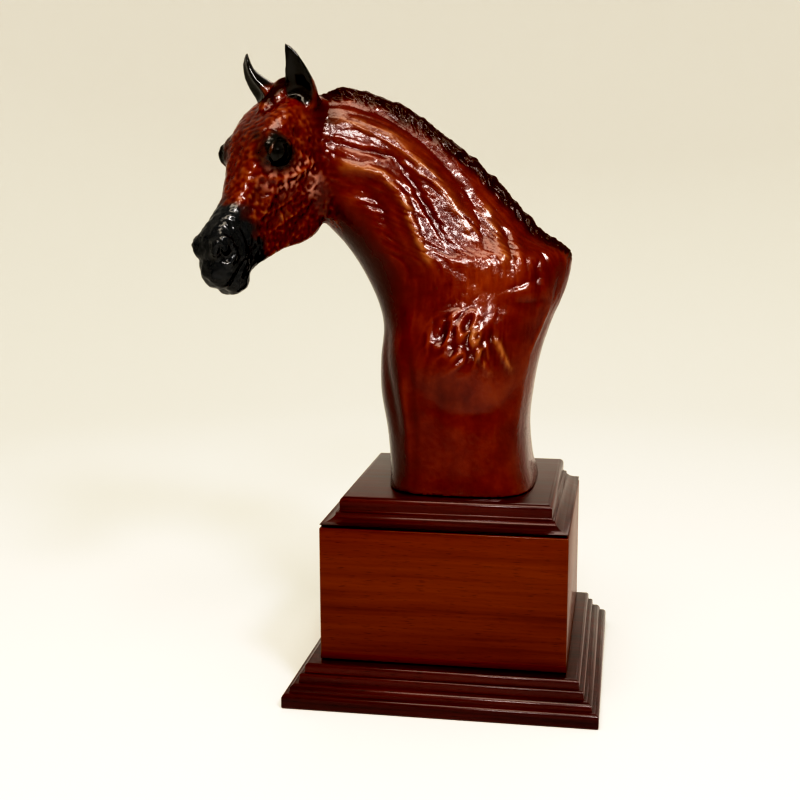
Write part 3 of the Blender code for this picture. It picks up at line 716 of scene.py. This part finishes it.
skin = horse.data
points = smoothed(skin, evening_rounds)
for side in (1, -1):
    middle = eye_at(side)[0]
    gap = np.linalg.norm(points - middle, axis=1)
    inside = gap < eyeball
    points[inside] = middle + (points[inside] - middle) / gap[inside, None] * eyeball
move_points(skin, points)
move_points(skin, carve(mesh_points(skin), mesh_points(skin, "normal")))
move_points(skin, smoothed(skin, 1))
points = mesh_points(skin)
seam = np.zeros(len(points))
for side in (1, -1):
    path = in_head(through(jaw_seam, 6) * (1, 1, side))
    seam = np.maximum(seam, closeness(points, path, jaw_seam_reach))
move_points(skin, points + seam[:, None] * (smoothed(skin, wiping_rounds) - points))


def along_neck(points):
    """Where points lie on the neck's skin: metres up it from the foot, and metres round it from the crest."""
    rings = neck_rings(*neck_grid)
    count, around = rings.shape[:2]
    up = np.gradient(rings, axis=0)
    side = (np.roll(rings, -1, axis=1) - np.roll(rings, 1, axis=1)) / 2
    rise = np.cumsum(np.linalg.norm(up, axis=2).mean(axis=1))
    girth = np.cumsum(np.linalg.norm(side, axis=2), axis=1)
    corners, up, side = rings.reshape(-1, 3), up.reshape(-1, 3), side.reshape(-1, 3)
    tree = kdtree.KDTree(len(corners))
    for n, corner in enumerate(corners):
        tree.insert(corner, n)
    tree.balance()
    near = np.array([tree.find(point)[1] for point in points])
    gap, up, side = points - corners[near], up[near], side[near]
    uu, us, ss = (up * up).sum(axis=1), (up * side).sum(axis=1), (side * side).sum(axis=1)
    gu, gs = (gap * up).sum(axis=1), (gap * side).sum(axis=1)
    spread = np.maximum(uu * ss - us * us, 1e-12)
    row = np.clip(near // around + (gu * ss - gs * us) / spread, 0, count - 1.001)
    column = np.clip(near % around + (gs * uu - gu * us) / spread, 0, around - 1.001)
    i, j = row.astype(int), column.astype(int)
    u, v = row - i, column - j
    below = girth[i, j] * (1 - v) + girth[i, j + 1] * v
    over = girth[i + 1, j] * (1 - v) + girth[i + 1, j + 1] * v
    return np.interp(row, np.arange(count), rise), below * (1 - u) + over * u


def ripples(places):
    """Smooth lumps, from about -1 to 1, at an array of places."""
    return np.array([noise.noise(Vector(place)) for place in places])


def between(values, low, high):
    """0 below low, 1 above high, and a smooth step between."""
    share = np.clip((values - low) / (high - low), 0, 1)
    return share * share * (3 - 2 * share)


def keep_share(mesh, name, values):
    """Stores one number for each point, for the glaze to read."""
    layer = mesh.attributes.new(name, "FLOAT", "POINT")
    layer.data.foreach_set("value", values.astype(np.float32))


def ridges(places, narrowness):
    """Ridges, 1 along their crests, at an array of places."""
    return 1 - narrowness * np.abs(ripples(places))


# Two places on the neck, each as (row of the neck, share of the way to the throat): where thumbs pressed
# broad dabs into it, and where the glaze is painted lighter and warmer, partly as painted light where the
# neck faces the light
thumbed_place = (5.8, 0.48)
warm_lit_place = (8.0, 0.40)

points = mesh_points(skin)
x, y, z = points.T
facing = mesh_points(skin, "normal")
head_turn = np.array(head_matrix())
in_skull = (points - head_turn[:3, 3]) @ head_turn[:3, :3] / head_length * 100
along, above, aside = in_skull.T
run, across = along_neck(points)
zeros = np.zeros(len(points))
on_head = between(along, 4, 14) * between(-np.abs(aside), -26, -21) * between(above, -62, -54)
on_neck = 1 - on_head

# The clay was worked with a wire tool and thumbs: long streaks down the neck, small pats and ridges all over,
# less of them on what faces down
streaks = ridges(np.stack([across / 0.0046, run / 0.024, zeros], axis=1), 3.2)
fine_streaks = ridges(np.stack([across / 0.0021, run / 0.0095, zeros + 7], axis=1), 3.2)
pats = ripples(points / 0.0052)
small_pats = ripples(points / 0.0021)
ripple = ripples(points * 160)
faced_down = -0.75 * facing[:, 0] - 0.65 * facing[:, 2]
# Painted shade: the glaze is darkened on surfaces that turn down and away to the left
painted_shade_below = between(faced_down, 0.10, 0.80)
rough = (0.15 + 0.85 * between(z, 0.150, 0.190)) * (1 - 0.90 * between(faced_down, -0.20, 0.40))
relief = on_neck * rough * (0.00012 * streaks + 0.00006 * fine_streaks + 0.00018 * pats)
pinched = ridges(points / 0.0034 + 0.6 * pats[:, None] + 11, 3.2)
relief += on_head * (0.00007 * pinched + 0.00020 * pats)
relief += (0.00005 + 0.00022 * on_head) * small_pats
relief *= 1 - 0.7 * on_head * between(facing @ (head_turn[:3, :3] @ (0, -1, 0)), 0.3, 0.8)
muzzle = between(along + 6 * ripple + 0.25 * above, 60, 67)
muzzle *= between(above, -50, -46) * between(-np.abs(aside), -22, -19)
relief += 0.00022 * muzzle * ridges(points / 0.0046 + 5, 3.0)
dabs = np.maximum(ridges(np.stack([x / 0.0066 - z / 0.013, y / 0.008, z / 0.010], axis=1), 3.4), -0.35)
for side in (1, -1):
    relief *= between(distance_to(points, eye_at(side, 2)), 0.0042, 0.0065)
for side in (1, -1):
    relief += 0.00105 * dabs * closeness(points, [neck_spot(thumbed_place, side)], 0.013)
crest = neck_rows(6)[int(mane_span[0] * 6) : int(mane_span[1] * 6) + 1, 0:3]
locks = ridges(np.stack([(across + 0.9 * run) / 0.0026, (run - across) / 0.011, zeros + 3], axis=1), 3.0)
relief += 0.00050 * locks * on_neck * (1 - between(distance_to(points, crest[::3]), 0.0055, 0.0085))
points = points + relief[:, None] * facing
move_points(skin, points)

# The black points: the ears' tips and mouths, the black in the mouths also standing in for the shade in their
# cups, the rims of the eyes, and a smudge up from the near eye
ears = np.zeros(len(points))
eyes = np.zeros(len(points))
for side in (1, -1):
    ear_line = ear_rings(side, 4, 8).mean(axis=1)[4:]
    lobe = 1 - between(distance_to(points, ear_line) + 0.001 * ripple, 0.0066, 0.0085)
    root, tip = ear_line[0], ear_line[-1]
    share = ((points - root) @ (tip - root)) / ((tip - root) @ (tip - root))
    mouth = facing @ (head_turn[:3, :3] @ (np.array(ear_opening) * (1, 1, side)))
    # Painted shade: the ears' mouths go black where their cups open forwards
    front = between(mouth + 0.25 * ripple, 0.0, 0.35)
    ears = np.maximum(ears, lobe * np.maximum(front, between(share + 0.05 * ripple, 0.20, 0.34)))
    gap = distance_to(points, eye_at(side, 2)) + 0.0034 * ripple
    eyes = np.maximum(eyes, 1 - between(gap, 0.0062, 0.0084))
    eyes = np.maximum(eyes, 0.7 * (1 - between(gap, 0.0076, 0.0112)))
smudge = closeness(points, in_head([(35, -1, 14), (34, 2, 11.5), (33, 4.5, 8.5), (32, 5.5, 6)]), 0.0030)
eyes = np.maximum(eyes, 0.75 * smudge * between(ripple, -0.5, 0.3))

# The dark hair, the mane and the tuft between the ears, and a painted shadow behind the near ear
mane = 1 - between(distance_to(points, crest) + 0.0020 * ripple, 0.0042, 0.0098)
tuft = in_head([(-5, 4, 3), (-2, 5, 3), (2, 6, 2), (5, 7, 1), (8, 7, 0.5)])
fringe = 1 - between(distance_to(points, tuft) + 0.0020 * ripple, 0.0036, 0.0066)
behind_ear = in_head([(-6, -4, 15), (-4, -8, 16.5), (-1, -12, 18), (3, -16, 19)])
shadow = 0.75 * np.exp(-(((distance_to(points, behind_ear) + 0.0015 * ripple) / 0.0055) ** 2))

# A lighter glaze dry-brushed along the raised forms, which also serves as painted highlight along the muscle
# bands of the neck
# and on the cheek: the brush's reach in metres, then its path. The palest dabs, painted glints, follow the
# cheek bone and turn down the cheek.
neck_brushing_and_highlights = (
    (
        0.0042,
        ((15.6, 0.30), (14.7, 0.25), (13.8, 0.22), (13.1, 0.215), (12.3, 0.24), (11.5, 0.26), (10.3, 0.30)),
    ),
    (
        0.0030,
        ((14.2, 0.59), (13.6, 0.54), (13.2, 0.48), (12.7, 0.46), (11.8, 0.48), (11.1, 0.53), (9.2, 0.62)),
    ),
    (0.0040, ((10.9, 0.14), (10.0, 0.21), (9.0, 0.27))),
    (0.0034, ((5.9, 0.42), (5.4, 0.37), (4.8, 0.28))),
    (0.0034, ((5.6, 0.26), (5.2, 0.21), (4.8, 0.15))),
)
head_brushing_and_highlights = (
    (0.0055, ((42, -15, 16), (36, -20, 18), (28, -23, 19))),
    (0.0050, ((54, -9, 10.5), (62, -14, 11))),
    (0.0060, ((61, -20, 11.5), (57, -28, 12), (48, -34, 13))),
)
# Painted glints: pale pink dabs along the cheek bone and down the cheek
glint_reach = 0.0040
glint_path = ((47, -10.5, 14), (45, -15.5, 15.5), (39, -20, 16.5), (34.5, -20, 19), (28.5, -21.5, 19.5))
glint_path += ((30.5, -29, 18), (34, -32, 16.5))
height = ((points - smoothed(skin, 14)) * mesh_points(skin, "normal")).sum(axis=1)
raised = (0.15 + 0.85 * between(height, 0.0, 0.00025)) * between(fine_streaks + 0.6 * pats, -0.9, 0.6)
patchy = between(small_pats + 0.6 * pats, -0.1, 0.4)
dotted = between(small_pats + 0.5 * pats + 0.4 * ripple, 0.05, 0.35)
# Painted highlight: specks of the lighter glaze over the head, and below the brushing along the neck's muscle
# bands and the cheek, where the light falls on them
brushed_and_highlight = 0.35 * on_head * between(small_pats + 0.6 * pats, 0.0, 0.5)
# The painted glints, gathered below
pale = np.zeros(len(points))
for side in (1, -1):
    for reach, path in neck_brushing_and_highlights:
        brushed_and_highlight = np.maximum(brushed_and_highlight, closeness(points, neck_path(path, side), reach))
    for reach, path in head_brushing_and_highlights:
        brushed_and_highlight = np.maximum(brushed_and_highlight, closeness(points, head_path(path, side), reach) * patchy)
    pale = np.maximum(pale, closeness(points, head_path(glint_path, side), glint_reach) * dotted)
# A lighter, warmer patch, partly painted light where the neck faces the light
warm_and_lit = on_neck * closeness(points, [neck_spot(warm_lit_place, 1)], 0.016)
# The glaze's tone, kept as the relief share: lighter on the raised clay and darker in its hollows, darker by
# painted shade on the neck where it faces down and away to the left, lighter in the warm patch, and a little
# darker on the head
depth = height / (0.0012 - 0.0004 * on_head) - 0.50 * on_neck * painted_shade_below + 0.22 * warm_and_lit - 0.03 * on_head

# The painted glints on the cheek
keep_share(skin, "painted_glint", pale)
# The dry-brushed glaze, partly painted highlight
keep_share(skin, "dry_brush_and_highlight", brushed_and_highlight * raised)
# The hair, with the painted shadow behind the near ear
keep_share(skin, "hair_and_painted_shadow", np.maximum(np.maximum(mane, fringe), shadow))
keep_share(skin, "muzzle", muzzle)
# The black points, with the painted shade in the ears' mouths
keep_share(skin, "black_points_and_ear_shade", np.maximum(ears, eyes))
keep_share(skin, "relief", np.clip(0.5 + depth, 0, 1))

thinned = horse.modifiers.new("fewer faces", "DECIMATE")
thinned.ratio = skin_triangles / sum(len(face.vertices) - 2 for face in skin.polygons)
bpy.ops.object.modifier_apply(modifier=thinned.name)

# The foot is sawn off flat where it is screwed down on the cap board
shape = bmesh.new()
shape.from_mesh(skin)
everything = shape.verts[:] + shape.edges[:] + shape.faces[:]
cut = bmesh.ops.bisect_plane(
    shape, geom=everything, plane_co=(0, 0, bust_foot), plane_no=(0, 0, 1), clear_inner=True
)
bmesh.ops.holes_fill(shape, edges=[e for e in cut["geom_cut"] if isinstance(e, bmesh.types.BMEdge)])
shape.to_mesh(skin)
shape.free()

# The skin keeps inside the solid's box: what would pass it is drawn in over the last 20 mm
drawn_in = 0.02
points = mesh_points(skin)
for axis in range(3):
    first, last = points[:, axis].min(), points[:, axis].max()
    kept = (max(first, bust_low[axis]), first + drawn_in, last - drawn_in, min(last, bust_high[axis]))
    points[:, axis] = np.interp(points[:, axis], (first, first + drawn_in, last - drawn_in, last), kept)
move_points(skin, points)
bpy.ops.object.shade_smooth()

glaze = bpy.data.materials.new("bay_glaze")
glaze.use_nodes = True
tree = glaze.node_tree
shader = tree.nodes["Principled BSDF"]
link = tree.links.new
place = tree.nodes.new("ShaderNodeTexCoord")


def kept_share(name):
    """A number that was stored for each point, as the glaze reads it."""
    node = tree.nodes.new("ShaderNodeAttribute")
    node.attribute_name = name
    return node.outputs["Fac"]


def reckoned(operation, *sources):
    """What a math node makes of its sources, each a plain number or another node's."""
    node = tree.nodes.new("ShaderNodeMath")
    node.operation = operation
    for socket, source in zip(node.inputs, sources):
        if isinstance(source, float):
            socket.default_value = source
        else:
            link(source, socket)
    return node.outputs["Value"]


black = kept_share("black_points_and_ear_shade")
hair_and_shadow = kept_share("hair_and_painted_shadow")
# The dry-brushed glaze with its painted highlights
brushed_and_highlit = kept_share("dry_brush_and_highlight")
clouds = tree.nodes.new("ShaderNodeTexNoise")
clouds.inputs["Scale"].default_value = 38
clouds.inputs["Detail"].default_value = 6
clouds.inputs["Roughness"].default_value = 0.62
link(place.outputs["Object"], clouds.inputs["Vector"])
# The glaze's tone, with its painted shade and light, mixed with cloudy noise
glaze_tone_and_shade = tree.nodes.new("ShaderNodeMix")
glaze_tone_and_shade.data_type = "FLOAT"
glaze_tone_and_shade.inputs[0].default_value = 0.42
link(kept_share("relief"), glaze_tone_and_shade.inputs[2])
link(clouds.outputs["Fac"], glaze_tone_and_shade.inputs[3])
bay = tree.nodes.new("ShaderNodeValToRGB")
bay.color_ramp.interpolation = "B_SPLINE"
bay.color_ramp.elements[0].position = 0.16
bay.color_ramp.elements[0].color = (0.020, 0.0009, 0.0004, 1)
bay.color_ramp.elements[1].position = 0.88
bay.color_ramp.elements[1].color = (0.30, 0.085, 0.020, 1)
bay.color_ramp.elements.new(0.36).color = (0.050, 0.0018, 0.0005, 1)
bay.color_ramp.elements.new(0.56).color = (0.102, 0.0048, 0.0008, 1)
link(glaze_tone_and_shade.outputs[0], bay.inputs["Fac"])
painted = bay.outputs["Color"]
# Colours laid over the bay in turn: the dry-brushed glaze with its painted highlights, the painted glints,
# the black muzzle, the black points with the painted shade in the ears' mouths, and the hair with the painted
# shadow behind the ear
for where, colour in (
    (brushed_and_highlit, (0.27, 0.130, 0.052, 1)),
    (kept_share("painted_glint"), (0.38, 0.20, 0.155, 1)),
    (kept_share("muzzle"), (0.012, 0.014, 0.018, 1)),
    (black, (0.008, 0.008, 0.009, 1)),
    (hair_and_shadow, (0.030, 0.008, 0.003, 1)),
):
    coat = tree.nodes.new("ShaderNodeMix")
    coat.data_type = "RGBA"
    coat.inputs[7].default_value = colour
    link(where, coat.inputs[0])
    link(painted, coat.inputs[6])
    painted = coat.outputs[2]
link(painted, shader.inputs["Base Color"])

# A fine grain breaks the reflections, less of it on the black points and the painted shade in the ears'
# mouths. The brushed glaze with its painted highlights, the hair and the painted shadow behind the ear are
# duller.
grain = tree.nodes.new("ShaderNodeTexNoise")
grain.inputs["Scale"].default_value = 420
grain.inputs["Detail"].default_value = 4
link(place.outputs["Object"], grain.inputs["Vector"])
bump = tree.nodes.new("ShaderNodeBump")
bump.inputs["Strength"].default_value = 0.35
bump.inputs["Distance"].default_value = 0.0005
polished = reckoned("MULTIPLY_ADD", black, -0.8, 1.0)
link(reckoned("MULTIPLY", grain.outputs["Fac"], polished), bump.inputs["Height"])
link(bump.outputs["Normal"], shader.inputs["Normal"])
link(bump.outputs["Normal"], shader.inputs["Coat Normal"])
dulled = reckoned("MAXIMUM", hair_and_shadow, brushed_and_highlit)
link(reckoned("MULTIPLY_ADD", dulled, -0.7, 1.0), shader.inputs["Coat Weight"])
shader.inputs["Roughness"].default_value = 0.5
shader.inputs["Specular IOR Level"].default_value = 0.0
shader.inputs["Coat Roughness"].default_value = 0.17
skin.materials.append(glaze)
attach(horse, "root")
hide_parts("horse_bust")


# The table: a plain pale sheet, swept up all round so that no edge of it shows from any side.
sheet_flat = 0.70
sheet_bend = 0.90
sheet_steps = 24
turns = [math.pi / 2 * step / sheet_steps for step in range(sheet_steps + 1)]
curl = [(sheet_flat + sheet_bend * math.sin(t), 0, sheet_bend * (1 - math.cos(t))) for t in turns]
outline = [(0, 0, 0)] + curl
sheet = bpy.data.meshes.new("studio_floor")
sheet.from_pydata(outline, [(n, n + 1) for n in range(len(outline) - 1)], [])
table = bpy.data.objects.new("studio_floor", sheet)
bpy.context.scene.collection.objects.link(table)
bpy.ops.object.select_all(action="DESELECT")
bpy.context.view_layer.objects.active = table
table.select_set(True)
swept = table.modifiers.new("all round", "SCREW")
swept.steps = 96
swept.render_steps = 96
swept.use_merge_vertices = True
bpy.ops.object.modifier_apply(modifier=swept.name)
bpy.ops.object.shade_smooth()
paper = bpy.data.materials.new("pale_paper")
paper.use_nodes = True
paper.node_tree.nodes["Principled BSDF"].inputs["Base Color"].default_value = (0.80, 0.80, 0.78, 1)
paper.node_tree.nodes["Principled BSDF"].inputs["Roughness"].default_value = 0.9
sheet.materials.append(paper)

world = bpy.data.worlds.new("studio_air")
bpy.context.scene.world = world
world.use_nodes = True
world.node_tree.nodes["Background"].inputs["Color"].default_value = (1.0, 0.92, 0.775, 1)
world.node_tree.nodes["Background"].inputs["Strength"].default_value = 0.68


# The light: a soft box overhead, whose reflection lies along the muscles, small ones at the right and in
# front for the glints, and a weak one behind that lights the backs of the neck and the plinth.
def soft_box(name, place, aim, width, height, power, tint):
    """An area light at a place, turned to face a point."""
    lamp = bpy.data.lights.new(name, "AREA")
    lamp.shape = "RECTANGLE"
    lamp.size = width
    lamp.size_y = height
    lamp.energy = power
    lamp.color = tint
    holder = bpy.data.objects.new(name, lamp)
    bpy.context.scene.collection.objects.link(holder)
    holder.location = place
    holder.rotation_euler = (Vector(aim) - Vector(place)).to_track_quat("-Z", "Y").to_euler()
    return holder


soft_box("overhead", (0.0, -0.40, 0.95), (0, 0, 0.2), 0.58, 0.32, 4.8, (1.0, 0.89, 0.74))
soft_box("right", (0.43, -0.67, 0.80), (-0.05, 0, 0.22), 0.17, 0.14, 4.4, (1.0, 0.94, 0.91))
soft_box("front", (0.10, -0.90, 0.74), (0, 0, 0.2), 0.20, 0.10, 2.8, (1.0, 0.98, 0.96))
soft_box("back", (0.0, 0.80, 0.85), (0, 0, 0.15), 0.50, 0.40, 1.4, (1.0, 0.93, 0.84))

# The camera: where the photograph was taken from, a little right of the front and above the trophy's middle.
camera_place = Vector((0.0815, -0.6314, 0.2487))
camera_yaw = -0.1733
camera_pitch = 0.1782
camera_roll = 0.0032
lens_share = 1324.2339 / 800
view = bpy.data.cameras.new("photograph")
camera = bpy.data.objects.new("photograph", view)
bpy.context.scene.collection.objects.link(camera)
view.sensor_width = 36
view.lens = view.sensor_width * lens_share
ahead = Vector(
    (
        math.sin(camera_yaw) * math.cos(camera_pitch),
        math.cos(camera_yaw) * math.cos(camera_pitch),
        -math.sin(camera_pitch),
    )
)
level = Vector((math.cos(camera_yaw), -math.sin(camera_yaw), 0))
down = ahead.cross(level)
right = level * math.cos(camera_roll) + down * math.sin(camera_roll)
up = level * math.sin(camera_roll) - down * math.cos(camera_roll)
turn = Matrix((right, up, -ahead)).transposed()
camera.matrix_world = Matrix.Translation(camera_place) @ turn.to_4x4()
bpy.context.scene.camera = camera

# The print: the photograph's deep shadows and strong colours, as a curve laid over the picture
tone = bpy.context.scene.view_settings
tone.view_transform = "Standard"
tone.use_curve_mapping = True
tone.curve_mapping.black_level = (0.032, 0.032, 0.032)
curve = tone.curve_mapping.curves[3]
for dim, shown in ((0.02, 0.004), (0.06, 0.021), (0.15, 0.080), (0.35, 0.285), (0.60, 0.64), (0.75, 0.82)):
    curve.points.new(dim, shown)
curve.points[-1].location = (1.0, 0.985)
tone.curve_mapping.update()
